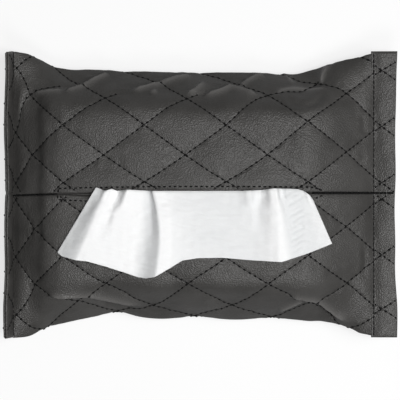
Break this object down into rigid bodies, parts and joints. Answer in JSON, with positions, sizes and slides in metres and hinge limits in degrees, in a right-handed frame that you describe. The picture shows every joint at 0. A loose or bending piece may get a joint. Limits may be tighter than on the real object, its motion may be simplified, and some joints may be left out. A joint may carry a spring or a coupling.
{
  "type": "car tissue holder",
  "caption": "Soft quilted pouch for a refill pack of facial tissues, with a long slit on its face, sewn end flanges and elastic bands on its flat back.",
  "frame": {"origin": "under the middle of the part's outline, on the surface that its back lies on", "axes": "+X along the long side, with the flange that lies flat at +X and the one that stands up at -X; +Y across the face, towards the slit's straight upper lip; +Z out of the face"},
  "size_m": [0.2694, 0.198, 0.0586],
  "materials": {
    "leather": "satin",
    "wadding": "matte",
    "lining": "matte",
    "elastic": "matte",
    "film": "gloss",
    "tissue": "matte"
  },
  "bodies": {
    "cover": {"cover_skin": "leather", "cover_foam": "wadding", "cover_lining": "lining", "band_left": "elastic", "band_right": "elastic", "refill_film": "film", "tissue_stack": "tissue"},
    "left_flange": {"flange_left_front": "leather", "flange_left_back": "leather"},
    "right_flange": {"flange_right_front": "leather", "flange_right_back": "leather"},
    "tissue": {"tissue_sheet": "tissue"}
  },
  "joints": [
    {"name": "tissue_pull", "type": "slide", "parent": "cover", "child": "tissue", "axis": [0, 0, 1], "range_m": [0, 0.14]},
    {"name": "left_flange_fold", "type": "hinge", "parent": "cover", "child": "left_flange", "pos_m": [-0.12937, 0, 0.025], "axis": [0, 1, 0], "range_deg": [-76, 13], "stiffness_Nm_per_rad": 0.05},
    {"name": "right_flange_fold", "type": "hinge", "parent": "cover", "child": "right_flange", "pos_m": [0.11943, 0, 0.025], "axis": [0, 1, 0], "range_deg": [-75, 25], "stiffness_Nm_per_rad": 0.05}
  ]
}
